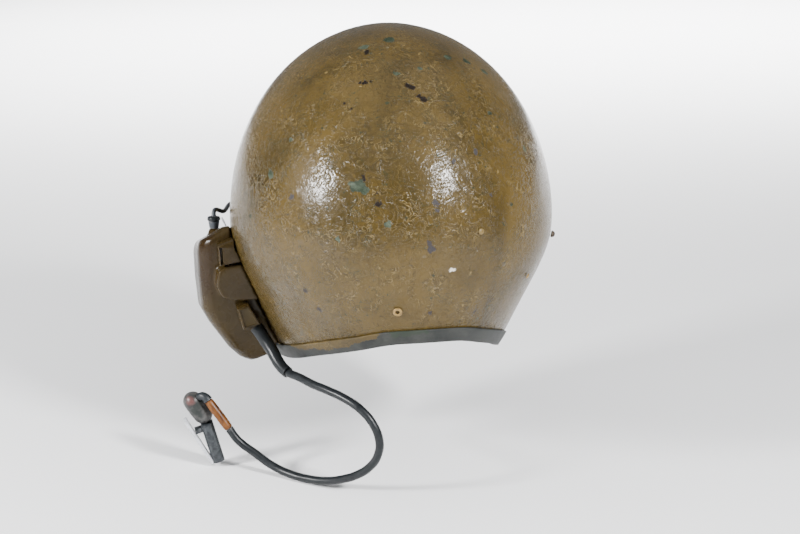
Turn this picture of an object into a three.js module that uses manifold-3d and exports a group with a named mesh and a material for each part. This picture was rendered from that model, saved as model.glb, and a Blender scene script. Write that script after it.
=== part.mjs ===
// Tanker helmet: a deep moulded shell with a rubber edge trim, an ear housing on the left side
// and a microphone on a bendable boom. Millimetres, +Z up. The face looks along -Y and the
// wearer's left is +X. The origin is inside the crown, where the helmet sits on a head.
import * as THREE from 'three';
import { mergeVertices } from 'three/addons/utils/BufferGeometryUtils.js';
import Module from 'manifold-3d';

const wasm = await Module();
wasm.setup();

// Driving dimensions
const shellWidth = 248.5;
const frontReach = 136;
const rearReach = 144;
const domeRise = 146.0;
const flankDrop = 118;
const shellWall = 4;
const pieceGap = 0.35;

const trimHeight = 10;
const trimThickness = 1.4;

const earAhead = frontReach / 4;
const housingHeight = 117;
const housingReach = 72;
const housingInset = 47.2;
const housingDrop = 0.5724;
const housingRear = 32;
const housingFront = 34;
const housingRound = 13;
const housingDraft = 4;
const housingFall = 16;
const footRise = 26;
const ductRear = 39;

const rearBoxRear = 41;
const rearBoxSlot = 5;
const outletBoxRear = 42.5;
const boxRoot = 22;
const edgeRound = 1.2;

const sleeveDiameter = 10.8;
const sleeveEndDiameter = 9.2;
const sleeveLength = 48;
const boomDiameter = 6.4;
const collarDiameter = 7.4;
const collarLength = 27;

const glandOut = 10;
const glandRear = 5;
const bossHeight = 6;
const bossSink = 6.6;
const bossSkirt = 8;
const bossFootDiameter = 11.8;
const bossTopDiameter = 7.7;
const glandHeight = 6;
const glandDiameter = 7.4;
const capDiameter = 10.4;
const capHeight = 2.8;
const strapThickness = 1.2;
const strapDepth = 7;
const strapFootOut = 0.8;
const leadDiameter = 3.8;
const grommetDiameter = 8;
const grommetHeight = 2.5;
const grommetDegrees = 119;
const grommetDrop = 0.567;
const leadDegrees = 107;
const leadRise = [-2, -6, 4];

const neckDiameter = 7.8;
const micHeadShift = [11, -9.8, -3];
const micHeadLean = 33.4;
const micSeatLean = 20;
const micLean = 15;
const leafLean = 14.5;
const micHeadDiameter = 16;
const micHeadLength = 13;
const micBodyLength = 31;
const micBodyWidth = 7.2;
const micBodyDepth = 12;
const bridgeHeight = 4;
const bridgeDepth = 7.2;
const leafLength = 40;
const leafThickness = 1.2;
const leafDepth = 9.6;

const eyeletDiameter = 7;
const eyeletHole = 3.2;
const rivetDiameter = 4.6;
const rivetHeight = 1;
const studDiameter = 5.6;
const studHeight = 3.2;

// Places on the shell, as degrees round from the nape towards the wearer's left and a drop that is
// a share of the shell's whole height.
const fittings = {
  eyelet: { degrees: 11.5, drop: 0.713 },
  rearRivet: { degrees: -17, drop: 0.5 },
  flankRivet: { degrees: -43.7, drop: 0.67 },
  stud: { degrees: -75, drop: 0.614 },
};

// Below its widest level the shell closes in. Each row's drop is a share of flankDrop, its side,
// rear and front are shares of the half width and of the two reaches, and ahead is how far its
// widest place has moved forward, as a share of frontReach.
const flankSections = [
  { drop: 0.0, side: 1.0, rear: 1.0, front: 1.0, ahead: 0.0 },
  { drop: 0.12, side: 1.004, rear: 0.993, front: 0.998, ahead: 0.026 },
  { drop: 0.24, side: 0.968, rear: 0.975, front: 0.985, ahead: 0.069 },
  { drop: 0.37, side: 0.923, rear: 0.945, front: 0.965, ahead: 0.147 },
  { drop: 0.52, side: 0.871, rear: 0.903, front: 0.94, ahead: 0.254 },
  { drop: 0.67, side: 0.83, rear: 0.85, front: 0.905, ahead: 0.349 },
  { drop: 0.84, side: 0.745, rear: 0.78, front: 0.86, ahead: 0.379 },
  { drop: 1.0, side: 0.691, rear: 0.71, front: 0.81, ahead: 0.401 },
];

// The rim, from the middle of the nape (turn 0) round one side to the middle of the brow (180).
// The drop below the crown is a share of the shell's whole height.
const rimProfile = [
  { turn: 0, drop: 0.803 },
  { turn: 12, drop: 0.807 },
  { turn: 25, drop: 0.836 },
  { turn: 45, drop: 0.892 },
  { turn: 60, drop: 0.944 },
  { turn: 72, drop: 0.979 },
  { turn: 84, drop: 0.997 },
  { turn: 95, drop: 1.0 },
  { turn: 106, drop: 0.978 },
  { turn: 115, drop: 0.91 },
  { turn: 121, drop: 0.805 },
  { turn: 126, drop: 0.675 },
  { turn: 131, drop: 0.56 },
  { turn: 138, drop: 0.475 },
  { turn: 150, drop: 0.428 },
  { turn: 165, drop: 0.41 },
  { turn: 180, drop: 0.404 },
];

// Levels of the ear housing from its top to its foot. Level is a share of housingHeight, out of
// housingReach, rear and front of the reach behind and before the ear.
const housingLevels = [
  { level: 0.0, out: 0.72, rear: 1.0, front: 0.92 },
  { level: 0.06, out: 0.885, rear: 1.0, front: 1.0 },
  { level: 0.09, out: 0.966, rear: 1.0, front: 1.0 },
  { level: 0.125, out: 0.99, rear: 1.0, front: 1.0 },
  { level: 0.17, out: 1.0, rear: 1.0, front: 1.0 },
  { level: 0.36, out: 0.992, rear: 1.0, front: 1.0 },
  { level: 0.585, out: 0.965, rear: 0.95, front: 0.96 },
  { level: 0.68, out: 0.89, rear: 0.87, front: 0.9 },
  { level: 0.885, out: 0.68, rear: 0.72, front: 0.8 },
  { level: 0.965, out: 0.565, rear: 0.63, front: 0.72 },
  { level: 1.0, out: 0.46, rear: 0.56, front: 0.65 },
];

// Outlines, as seen from behind, of what stands out of the housing's rear face: the cable duct,
// the upper box, the slot in it and the box that holds the boom's foot. Out is a share of
// housingReach and level a share of housingHeight.
const ductOutline = [
  { out: 0.5, level: 0.25 },
  { out: 0.72, level: 0.262 },
  { out: 0.81, level: 0.3 },
  { out: 0.83, level: 0.4 },
  { out: 0.77, level: 0.475 },
  { out: 0.6, level: 0.505 },
  { out: 0.35, level: 0.505 },
];
const rearBoxOutline = [
  { out: 0.805, level: 0.122 },
  { out: 0.5, level: 0.055 },
  { out: 0.42, level: 0.22 },
  { out: 0.792, level: 0.258 },
];
const slotOutline = [
  { out: 0.792, level: 0.135 },
  { out: 0.766, level: 0.135 },
  { out: 0.757, level: 0.244 },
  { out: 0.783, level: 0.244 },
];
const outletBoxOutline = [
  { out: 0.622, level: 0.551 },
  { out: 0.497, level: 0.525 },
  { out: 0.373, level: 0.665 },
  { out: 0.562, level: 0.697 },
];

// Route of the boom's centre line, from the outlet box to the collar. The first number of each point
// is measured from the shell's widest place on the left.
const boomRoute = [
  [-17.55, 0, -228.8],
  [-22.75, 4.5, -236.9],
  [-28.25, 12, -245.8],
  [-32.35, 21, -253.9],
  [-37.75, 31.5, -258.1],
  [-44.35, 43.5, -258.2],
  [-52.05, 56.5, -259.8],
  [-61.75, 70, -261.2],
  [-72.25, 82, -264.2],
  [-81.85, 92, -269.7],
  [-90.45, 98.5, -280.3],
  [-94.55, 100.5, -292.9],
  [-93.85, 98, -304.7],
  [-89.15, 91, -316.3],
  [-80.85, 83, -325.2],
  [-71.55, 74, -331.3],
  [-60.65, 63, -336.2],
  [-48.65, 51.6, -338],
  [-36.35, 39.6, -337.6],
  [-24.05, 29, -333.6],
  [-11.65, 21, -325.2],
  [0.95, 15.5, -315.2],
  [6.95, 13, -306.4],
];

const shellHeight = domeRise + flankDrop;
const crownTop = shellWall;
const ringColumns = 84;
const ringRows = 14;

const material = (color, roughness, metalness = 0) => (
  new THREE.MeshStandardMaterial({ color, roughness, metalness })
);
const shellPaint = material(0x6f6038, 0.45);
const mouldedPlastic = material(0x5a4c2b, 0.25);
const trimRubber = material(0x3a3d3e, 0.55);
const blackRubber = material(0x25282a, 0.4);
const greyRubber = material(0x4a4d4f, 0.55);
const amberSleeve = material(0xa5692a, 0.5);
const blackPlastic = material(0x2a2d30, 0.4);
const greyPlastic = material(0x8b8c88, 0.4);
const brass = material(0xa07c3c, 0.4, 1);
const paintedRivet = material(0x6a5b35, 0.5);
const darkMetal = material(0x4c443c, 0.5, 1);

// Reads one column of a table as a smooth curve that never swings past its rows.
function tableCurve(rows, key, column) {
  const slope = (i) => (rows[i + 1][column] - rows[i][column]) / (rows[i + 1][key] - rows[i][key]);
  const tangents = rows.map((row, i) => {
    if (i === 0 || i === rows.length - 1) return 0;
    const before = slope(i - 1);
    const after = slope(i);
    return before * after <= 0 ? 0 : (2 * before * after) / (before + after);
  });
  return (at) => {
    let i = 0;
    while (i < rows.length - 2 && at > rows[i + 1][key]) i += 1;
    const span = rows[i + 1][key] - rows[i][key];
    const t = THREE.MathUtils.clamp((at - rows[i][key]) / span, 0, 1);
    const near = rows[i][column] * (1 + 2 * t) * (1 - t) ** 2 + rows[i + 1][column] * t * t * (3 - 2 * t);
    return near + span * (tangents[i] * t * (1 - t) ** 2 - tangents[i + 1] * t * t * (1 - t));
  };
}

const flankSide = tableCurve(flankSections, 'drop', 'side');
const flankRear = tableCurve(flankSections, 'drop', 'rear');
const flankFront = tableCurve(flankSections, 'drop', 'front');
const flankAhead = tableCurve(flankSections, 'drop', 'ahead');
const rimDropAt = tableCurve(rimProfile, 'turn', 'drop');

// A closed body through rings of points. An end ring of equal points closes to one vertex, and a
// looped body joins its last ring to its first.
function skin(rings, looped = false) {
  const positions = [];
  const known = new Map();
  const vertex = (point) => {
    const name = point.toArray().map((value) => Math.round(value * 1e4)).join(',');
    if (!known.has(name)) {
      known.set(name, positions.length / 3);
      positions.push(point.x, point.y, point.z);
    }
    return known.get(name);
  };
  const marks = rings.map((ring) => ring.map(vertex));
  const index = [];
  const face = (a, b, c) => {
    if (a !== b && b !== c && c !== a) index.push(a, b, c);
  };
  for (let j = 0; j < marks.length - (looped ? 0 : 1); j += 1) {
    const ring = marks[j];
    const next = marks[(j + 1) % marks.length];
    ring.forEach((mark, i) => {
      const beside = (i + 1) % ring.length;
      face(mark, ring[beside], next[beside]);
      face(mark, next[beside], next[i]);
    });
  }
  const geometry = new THREE.BufferGeometry();
  geometry.setAttribute('position', new THREE.Float32BufferAttribute(positions, 3));
  geometry.setIndex(index);
  return faceOut(geometry);
}

// Turns a body's faces to look out.
function faceOut(geometry) {
  const position = geometry.attributes.position;
  const index = geometry.index.array;
  const [a, b, c] = [new THREE.Vector3(), new THREE.Vector3(), new THREE.Vector3()];
  let volume = 0;
  for (let i = 0; i < index.length; i += 3) {
    a.fromBufferAttribute(position, index[i]);
    b.fromBufferAttribute(position, index[i + 1]);
    c.fromBufferAttribute(position, index[i + 2]);
    volume += a.dot(b.cross(c));
  }
  if (volume < 0) {
    for (let i = 0; i < index.length; i += 3) [index[i], index[i + 1]] = [index[i + 1], index[i]];
  }
  geometry.computeVertexNormals();
  return geometry;
}

function capped(rings) {
  const middle = (ring) => {
    const centre = ring.reduce((sum, point) => sum.add(point), new THREE.Vector3());
    centre.divideScalar(ring.length);
    return ring.map(() => centre);
  };
  return skin([middle(rings[0]), ...rings, middle(rings[rings.length - 1])]);
}

function toSolid(geometry) {
  const bare = geometry.clone();
  bare.deleteAttribute('normal');
  bare.deleteAttribute('uv');
  const merged = mergeVertices(bare, 1e-4);
  return new wasm.Manifold(new wasm.Mesh({
    numProp: 3,
    vertProperties: new Float32Array(merged.attributes.position.array),
    triVerts: new Uint32Array(merged.index.array),
  }));
}

function toGeometry(solid) {
  const mesh = solid.getMesh();
  const geometry = new THREE.BufferGeometry();
  geometry.setAttribute('position', new THREE.Float32BufferAttribute(mesh.vertProperties, 3));
  geometry.setIndex([...mesh.triVerts]);
  geometry.computeVertexNormals();
  return geometry;
}

// A point of the shell's outer face. Turn is the angle round from the nape towards the wearer's
// left, and tilt grows from nothing at the crown to a right angle at the widest level.
function outerFace(turn, tilt) {
  const drop = domeRise * (1 - Math.cos(tilt));
  const share = Math.max(0, drop - domeRise) / flankDrop;
  const round = tilt < Math.PI / 2 ? Math.sin(tilt) : 1;
  const ahead = frontReach * flankAhead(share);
  const rear = rearReach * flankRear(share) + ahead;
  const front = frontReach * flankFront(share) - ahead;
  const reach = Math.cos(turn) > 0 ? rear : front;
  return new THREE.Vector3(
    (shellWidth / 2) * flankSide(share) * round * Math.sin(turn),
    reach * round * Math.cos(turn) - ahead,
    crownTop - drop,
  );
}

function outerNormal(turn, tilt) {
  const step = 1e-3;
  if (tilt < step) return new THREE.Vector3(0, 0, 1);
  const along = outerFace(turn + step, tilt).sub(outerFace(turn - step, tilt));
  const down = outerFace(turn, tilt + step).sub(outerFace(turn, tilt - step));
  return along.cross(down).normalize();
}

function shellPoint(turn, tilt, out) {
  return outerFace(turn, tilt).addScaledVector(outerNormal(turn, tilt), out);
}

const tiltAtDrop = (drop) => Math.acos(1 - drop / domeRise);

// The tilt that reaches the rim at a turn.
function rimTilt(turn) {
  const degrees = Math.abs(THREE.MathUtils.radToDeg(Math.atan2(Math.sin(turn), Math.cos(turn))));
  return tiltAtDrop(rimDropAt(degrees) * shellHeight);
}

// Turns at even steps along the rim, so that its steep front edges get as many as its flat ones.
function rimTurns(count) {
  const fine = 1440;
  const travelled = [0];
  for (let i = 1; i <= fine; i += 1) {
    const before = ((i - 1) / fine) * 2 * Math.PI;
    const here = (i / fine) * 2 * Math.PI;
    const length = outerFace(here, rimTilt(here)).distanceTo(outerFace(before, rimTilt(before)));
    travelled.push(travelled[i - 1] + length);
  }
  const turns = [];
  let i = 0;
  for (let station = 0; station < count; station += 1) {
    const wanted = (station / count) * travelled[fine];
    while (travelled[i + 1] < wanted) i += 1;
    const part = (wanted - travelled[i]) / (travelled[i + 1] - travelled[i]);
    turns.push(((i + part) / fine) * 2 * Math.PI);
  }
  return turns;
}

const stations = rimTurns(ringColumns);

// The tangents and normal of the rim at one station.
function rimFrame(i) {
  const before = stations[(i + ringColumns - 1) % ringColumns];
  const after = stations[(i + 1) % ringColumns];
  const turn = stations[i];
  const edge = outerFace(turn, rimTilt(turn));
  const along = outerFace(after, rimTilt(after)).sub(outerFace(before, rimTilt(before))).normalize();
  const out = outerNormal(turn, rimTilt(turn));
  const down = new THREE.Vector3().crossVectors(out, along).normalize();
  return { turn, edge, along, out, down };
}

// Follows the shell's face from a rim station inward over it by a distance, and returns the turn
// and tilt that it comes to.
function climb(frame, distance) {
  const step = 1e-3;
  const steps = 4;
  let turn = frame.turn;
  let tilt = rimTilt(turn);
  for (let k = 0; k < steps; k += 1) {
    const side = outerFace(turn + step, tilt).sub(outerFace(turn, tilt)).divideScalar(step);
    const fall = outerFace(turn, tilt + step).sub(outerFace(turn, tilt)).divideScalar(step);
    const move = frame.down.clone().multiplyScalar(-distance / steps);
    const [ss, sf, ff] = [side.dot(side), side.dot(fall), fall.dot(fall)];
    const [ms, mf] = [move.dot(side), move.dot(fall)];
    const area = ss * ff - sf * sf;
    turn += (ms * ff - mf * sf) / area;
    tilt += (mf * ss - ms * sf) / area;
  }
  return { turn, tilt, point: outerFace(turn, tilt), out: outerNormal(turn, tilt) };
}

const rimFrames = stations.map((turn, i) => rimFrame(i));
const trimTops = rimFrames.map((frame) => climb(frame, trimHeight));

// Rings of the shell's face, moved outward, from the crown to the top of the edge trim and on to
// the rim. Columns start evenly spaced round the crown. The last ring may lie past the rim.
function faceRings(out, past = 0) {
  const rings = [];
  for (let row = 0; row <= ringRows; row += 1) {
    const share = row / ringRows;
    rings.push(trimTops.map((top, i) => {
      const even = (i / ringColumns) * 2 * Math.PI;
      const turn = top.turn < even - Math.PI ? top.turn + 2 * Math.PI : top.turn;
      return shellPoint(THREE.MathUtils.lerp(even, turn, share * share), top.tilt * share, out);
    }));
  }
  rings.push(rimFrames.map(({ edge, out: away, down }) => (
    edge.clone().addScaledVector(away, out).addScaledVector(down, past)
  )));
  return rings;
}

// The shell's outer form as a solid body, grown by the clearance that a seated piece keeps.
function shellBlock(clearance) {
  return toSolid(capped(faceRings(clearance, 2 * trimThickness)));
}

function makeShell() {
  return skin([...faceRings(0), ...faceRings(-shellWall).reverse()]);
}

// A rubber channel pushed over the rim: outer lip, foot and inner lip.
function makeTrim() {
  const far = pieceGap + trimThickness;
  return skin(rimFrames.map((frame, i) => {
    const top = trimTops[i];
    const at = (base, out, away, down) => (
      base.clone().addScaledVector(out, away).addScaledVector(frame.down, down)
    );
    return [
      at(top.point, top.out, pieceGap, 0),
      at(frame.edge, frame.out, pieceGap, pieceGap),
      at(frame.edge, frame.out, -shellWall - pieceGap, pieceGap),
      at(top.point, top.out, -shellWall - pieceGap, 0),
      at(top.point, top.out, -shellWall - far, 0),
      at(frame.edge, frame.out, -shellWall - far, far),
      at(frame.edge, frame.out, far, far),
      at(top.point, top.out, far, 0),
    ];
  }), true);
}

// Levels and places on the ear housing
const housingTop = crownTop - housingDrop * shellHeight;
const housingBase = shellWidth / 2 - housingInset;
const housingX = (share) => housingBase + housingReach * share;
const housingZ = (share) => housingTop - housingHeight * share;
const fallSlope = Math.tan(THREE.MathUtils.degToRad(housingFall));

// One level of the housing: flat behind and before, with rounded outer corners. Its top falls
// towards the front.
function housingRing(row, grow) {
  const cornerSteps = 4;
  const out = housingX(row.out) + grow;
  const rear = housingRear * row.rear + grow;
  const front = -housingFront * row.front - grow;
  const outline = [[housingBase, front]];
  for (let k = 0; k <= cornerSteps; k += 1) {
    const angle = (k / cornerSteps) * (Math.PI / 2);
    const x = out - housingRound * (1 - Math.sin(angle));
    outline.push([x, front + housingDraft + housingRound * (1 - Math.cos(angle))]);
  }
  for (let k = 0; k <= cornerSteps; k += 1) {
    const angle = (k / cornerSteps) * (Math.PI / 2);
    const x = out - housingRound * (1 - Math.cos(angle));
    outline.push([x, rear - housingDraft - housingRound * (1 - Math.sin(angle))]);
  }
  outline.push([housingBase, rear]);
  const height = housingZ(row.level) + grow * (1 - 2 * row.level);
  const fall = fallSlope * (1 - row.level);
  return outline.map(([x, y]) => (
    new THREE.Vector3(x, y - earAhead, height - fall * (housingRear - y))
  ));
}

// A block with one of the outlines, between two distances behind the ear.
function rearPrism(outline, near, far, grow = 0, round = edgeRound) {
  const shape = new THREE.Shape(outline.map((row) => (
    new THREE.Vector2(housingX(row.out), housingZ(row.level))
  )));
  const geometry = new THREE.ExtrudeGeometry(shape, {
    depth: far - near - 2 * round + 2 * grow,
    bevelEnabled: round > 0,
    bevelThickness: round,
    bevelSize: round,
    bevelOffset: grow - round,
    bevelSegments: 2,
  });
  geometry.rotateX(Math.PI / 2);
  geometry.translate(0, far - round + grow - earAhead, 0);
  return toSolid(geometry);
}

// The space that the trim takes up round the rim, with its clearance.
function trimSpace() {
  const far = 3 * pieceGap + trimThickness;
  const depth = 2 * shellWall;
  return toSolid(skin(rimFrames.map((frame) => {
    const top = climb(frame, trimHeight + 2 * pieceGap);
    const corner = (base, out, away, down) => (
      base.clone().addScaledVector(out, away).addScaledVector(frame.down, down)
    );
    return [
      corner(top.point, top.out, far, 0),
      corner(frame.edge, frame.out, far, far),
      corner(frame.edge, frame.out, -depth, far),
      corner(top.point, top.out, -depth, 0),
    ];
  }), true));
}

const shellRoom = shellBlock(pieceGap);
const trimRoom = trimSpace();

function duct(grow) {
  return rearPrism(ductOutline, boxRoot, ductRear, grow);
}

// The gland stands on the housing's falling top.
const glandPlace = new THREE.Vector3(shellWidth / 2 + glandOut, glandRear - earAhead, 0);
glandPlace.z = housingTop - fallSlope * (housingRear - glandRear) - bossSink;

function boss() {
  const body = turned([
    [0, -bossSkirt],
    [bossFootDiameter / 2, -bossSkirt],
    [bossFootDiameter / 2, 0],
    [bossTopDiameter / 2, bossHeight],
    [0, bossHeight],
  ]);
  body.rotateX(Math.PI / 2);
  body.translate(glandPlace.x, glandPlace.y, glandPlace.z);
  return toSolid(body);
}

function housingBlock(grow) {
  const body = toSolid(capped(housingLevels.map((row) => housingRing(row, grow))));
  const rise = THREE.MathUtils.degToRad(footRise);
  const up = new THREE.Vector3(Math.sin(rise), 0, Math.cos(rise));
  const lowest = new THREE.Vector3(housingX(housingLevels[housingLevels.length - 1].out), 0, housingZ(1));
  return body.trimByPlane(up.toArray(), up.dot(lowest) - grow);
}

function makeHousing() {
  const body = housingBlock(0).add(duct(0)).add(boss());
  return toGeometry(body.subtract(shellRoom).subtract(trimRoom));
}

const boxCut = housingBlock(pieceGap).add(duct(pieceGap)).add(shellRoom);

// The upper box on the housing's rear face, with an upright slot in it.
function makeRearBox() {
  const block = rearPrism(rearBoxOutline, boxRoot, rearBoxRear);
  const slot = rearPrism(slotOutline, rearBoxRear - rearBoxSlot, rearBoxRear + edgeRound, 0, 0);
  return toGeometry(block.subtract(slot).subtract(boxCut));
}

// The box that holds the foot of the boom.
function makeOutletBox() {
  const block = rearPrism(outletBoxOutline, boxRoot, outletBoxRear);
  return toGeometry(block.subtract(boxCut).subtract(sleeveRoom()));
}

// Boom

const routePoints = boomRoute.map(([x, y, z]) => new THREE.Vector3(shellWidth / 2 + x, y, z));
const boomCurve = new THREE.CatmullRomCurve3(routePoints, false, 'centripetal');
boomCurve.arcLengthDivisions = 800;
const boomLength = boomCurve.getLength();

// A body of revolution through radius and height pairs, about its own Y axis.
function turned(profile, sides = 16) {
  return new THREE.LatheGeometry(profile.map(([radius, height]) => new THREE.Vector2(radius, height)), sides);
}

// A round body along a curve whose radius may change along it.
function sweptBody(curve, steps, sides, radiusAt) {
  const frames = curve.computeFrenetFrames(steps, false);
  const rings = [];
  for (let i = 0; i <= steps; i += 1) {
    const centre = curve.getPointAt(i / steps);
    const radius = radiusAt(i / steps);
    const ring = [];
    for (let k = 0; k < sides; k += 1) {
      const angle = (k / sides) * 2 * Math.PI;
      const point = centre.clone();
      point.addScaledVector(frames.normals[i], radius * Math.cos(angle));
      point.addScaledVector(frames.binormals[i], radius * Math.sin(angle));
      ring.push(point);
    }
    rings.push(ring);
  }
  return capped(rings);
}

// A stretch of the boom's curve between two lengths along it.
function boomStretch(from, to, count) {
  const points = [];
  for (let i = 0; i <= count; i += 1) {
    points.push(boomCurve.getPointAt(THREE.MathUtils.lerp(from, to, i / count) / boomLength));
  }
  return new THREE.CatmullRomCurve3(points, false, 'centripetal');
}

const sleeveCurve = boomStretch(0, sleeveLength, 8);

// The sleeve narrows towards its free end.
function makeSleeve() {
  const radiusAt = (share) => THREE.MathUtils.lerp(sleeveDiameter, sleeveEndDiameter, share) / 2;
  return sweptBody(sleeveCurve, 10, 14, radiusAt);
}

// The space behind the sleeve's first face, so that the outlet box stops short of it.
function sleeveRoom() {
  return toSolid(sweptBody(sleeveCurve, 10, 14, () => sleeveDiameter / 2 + pieceGap));
}

function makeBoom() {
  const steps = Math.round((boomLength - sleeveLength) / (2 * boomDiameter));
  const section = new THREE.Shape();
  const sides = 10;
  for (let k = 0; k < sides; k += 1) {
    const angle = (k / sides) * 2 * Math.PI;
    const [x, y] = [(boomDiameter / 2) * Math.cos(angle), (boomDiameter / 2) * Math.sin(angle)];
    if (k === 0) section.moveTo(x, y);
    else section.lineTo(x, y);
  }
  section.closePath();
  const extrudePath = boomStretch(sleeveLength + 3 * pieceGap, boomLength, steps);
  return new THREE.ExtrudeGeometry(section, { steps, bevelEnabled: false, extrudePath });
}

// Microphone, from the boom's end outward

const boomEnd = boomCurve.getPointAt(1);
const boomAim = boomCurve.getTangentAt(1);
const collarEnd = boomEnd.clone().addScaledVector(boomAim, pieceGap + collarLength);
const micHeadTop = collarEnd.clone().add(new THREE.Vector3(...micHeadShift));
const downAt = (lean) => {
  const angle = THREE.MathUtils.degToRad(lean);
  return new THREE.Vector3(-Math.sin(angle), 0, -Math.cos(angle));
};
const micHeadFoot = micHeadTop.clone().addScaledVector(downAt(micHeadLean), micHeadLength);

function makeCollar() {
  const radius = collarDiameter / 2;
  const chamfer = 0.6;
  return turned([
    [0, 0],
    [radius - chamfer, 0],
    [radius, chamfer],
    [radius, collarLength - chamfer],
    [radius - chamfer, collarLength],
    [0, collarLength],
  ]);
}

// The neck bends from the collar into the side of the microphone's head.
function makeNeck() {
  const start = collarEnd.clone().addScaledVector(boomAim, pieceGap);
  const bend = start.clone().addScaledVector(boomAim, neckDiameter * 0.8);
  const back = bend.clone().sub(micHeadTop).normalize();
  const end = micHeadTop.clone().addScaledVector(back, micHeadDiameter / 2 + pieceGap);
  const curve = new THREE.QuadraticBezierCurve3(start, bend, end);
  return sweptBody(curve, 6, 12, (share) => (neckDiameter / 2) * (1 - 0.2 * share));
}

// The head is a round-ended body.
function makeMicHead() {
  const radius = micHeadDiameter / 2;
  const endSteps = 5;
  const profile = [];
  for (let k = 0; k <= endSteps; k += 1) {
    const angle = (k / endSteps) * (Math.PI / 2);
    profile.push([radius * Math.sin(angle), -radius * Math.cos(angle)]);
  }
  for (let k = 0; k <= endSteps; k += 1) {
    const angle = (k / endSteps) * (Math.PI / 2);
    profile.push([radius * Math.cos(angle), micHeadLength + radius * Math.sin(angle)]);
  }
  profile[0][0] = 0;
  profile[profile.length - 1][0] = 0;
  return turned(profile);
}

function makeMicBody() {
  const shape = new THREE.Shape();
  const [half, deep, corner] = [micBodyWidth / 2, micBodyDepth / 2, 1.6];
  shape.moveTo(-half + corner, -deep);
  shape.lineTo(half - corner, -deep);
  shape.lineTo(half, -deep + corner);
  shape.lineTo(half, deep - corner);
  shape.lineTo(half - corner, deep);
  shape.lineTo(-half + corner, deep);
  shape.lineTo(-half, deep - corner);
  shape.lineTo(-half, -deep + corner);
  shape.closePath();
  const geometry = new THREE.ExtrudeGeometry(shape, { depth: micBodyLength, bevelEnabled: false });
  geometry.translate(0, 0, -micBodyLength);
  return geometry;
}

// Gland and lead

function onSide(profile) {
  const geometry = turned(profile);
  geometry.rotateX(Math.PI / 2);
  return geometry;
}

const glandFoot = glandPlace.z + bossHeight + pieceGap;
const capFoot = glandFoot + glandHeight + pieceGap;
const capTop = capFoot + capHeight;
const grommetTurn = THREE.MathUtils.degToRad(grommetDegrees);
const grommetTilt = tiltAtDrop(grommetDrop * shellHeight);
const leadTurn = THREE.MathUtils.degToRad(leadDegrees);

function makeGland() {
  return onSide([
    [0, 0],
    [glandDiameter / 2, 0],
    [glandDiameter * 0.62, glandHeight],
    [0, glandHeight],
  ]);
}

function makeCap() {
  const radius = capDiameter / 2;
  const chamfer = 0.7;
  return onSide([
    [0, 0],
    [radius, 0],
    [radius, capHeight - chamfer],
    [radius - chamfer, capHeight],
    [0, capHeight],
  ]);
}

// A strap that braces the gland against the housing's top beside the shell.
function makeStrap() {
  const foot = new THREE.Vector2(
    shellWidth / 2 + strapFootOut,
    housingTop - fallSlope * (housingRear - glandRear - strapDepth) + pieceGap,
  );
  const top = new THREE.Vector2(glandPlace.x - capDiameter / 2 - 2 * pieceGap, capFoot + capHeight / 2);
  const shape = new THREE.Shape([
    foot,
    new THREE.Vector2(foot.x + strapThickness, foot.y),
    new THREE.Vector2(top.x, top.y - strapThickness),
    new THREE.Vector2(top.x, top.y + strapThickness),
    new THREE.Vector2(top.x - strapThickness, top.y),
  ]);
  const geometry = new THREE.ExtrudeGeometry(shape, { depth: strapDepth, bevelEnabled: false });
  geometry.rotateX(Math.PI / 2);
  geometry.translate(0, glandPlace.y + strapDepth, 0);
  return geometry;
}

// The lead rises from the cap, runs forward beside the shell and turns into its grommet.
function makeLead() {
  const start = new THREE.Vector3(glandPlace.x, glandPlace.y, capTop + pieceGap);
  const stub = start.clone().add(new THREE.Vector3(0, 0, leadDiameter * 0.6));
  const rise = start.clone().add(new THREE.Vector3(...leadRise));
  const reach = grommetHeight + 2 * pieceGap;
  const end = shellPoint(grommetTurn, grommetTilt, reach);
  const before = shellPoint(grommetTurn, grommetTilt, reach + 1.2 * leadDiameter);
  const beside = shellPoint(leadTurn, grommetTilt, reach + leadDiameter);
  const curve = new THREE.CatmullRomCurve3([start, stub, rise, beside, before, end], false, 'centripetal');
  return sweptBody(curve, 18, 8, () => leadDiameter / 2);
}

function makeGrommet() {
  const radius = grommetDiameter / 2;
  return turned([
    [0, 0],
    [radius, 0],
    [radius, grommetHeight * 0.4],
    [radius * 0.7, grommetHeight],
    [0, grommetHeight],
  ], 12);
}

// Small metal pieces

function makeEyelet() {
  const [outer, inner] = [eyeletDiameter / 2, eyeletHole / 2];
  return turned([
    [inner, 0],
    [outer, 0],
    [outer, rivetHeight * 0.4],
    [(outer + inner) / 2, rivetHeight],
    [inner, rivetHeight * 0.6],
    [inner, 0],
  ]);
}

function makeDome(diameter, height) {
  return turned([
    [0, 0],
    [diameter / 2, 0],
    [diameter / 2, height * 0.3],
    [diameter * 0.33, height * 0.85],
    [0, height],
  ], 12);
}

const helmet = new THREE.Group();
const upward = new THREE.Vector3(0, 1, 0);

function addPiece(name, geometry, pieceMaterial, parent = helmet) {
  const mesh = new THREE.Mesh(geometry, pieceMaterial);
  mesh.name = name;
  parent.add(mesh);
  return mesh;
}

// Places a turned piece with its foot at a point and its axis along a direction.
function aim(mesh, foot, direction) {
  mesh.position.copy(foot);
  mesh.quaternion.setFromUnitVectors(upward, direction);
}

// Seats a turned piece on the shell.
function seat(mesh, { degrees, drop }) {
  const turn = THREE.MathUtils.degToRad(degrees);
  const tilt = tiltAtDrop(drop * shellHeight);
  aim(mesh, shellPoint(turn, tilt, pieceGap), outerNormal(turn, tilt));
}

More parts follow.
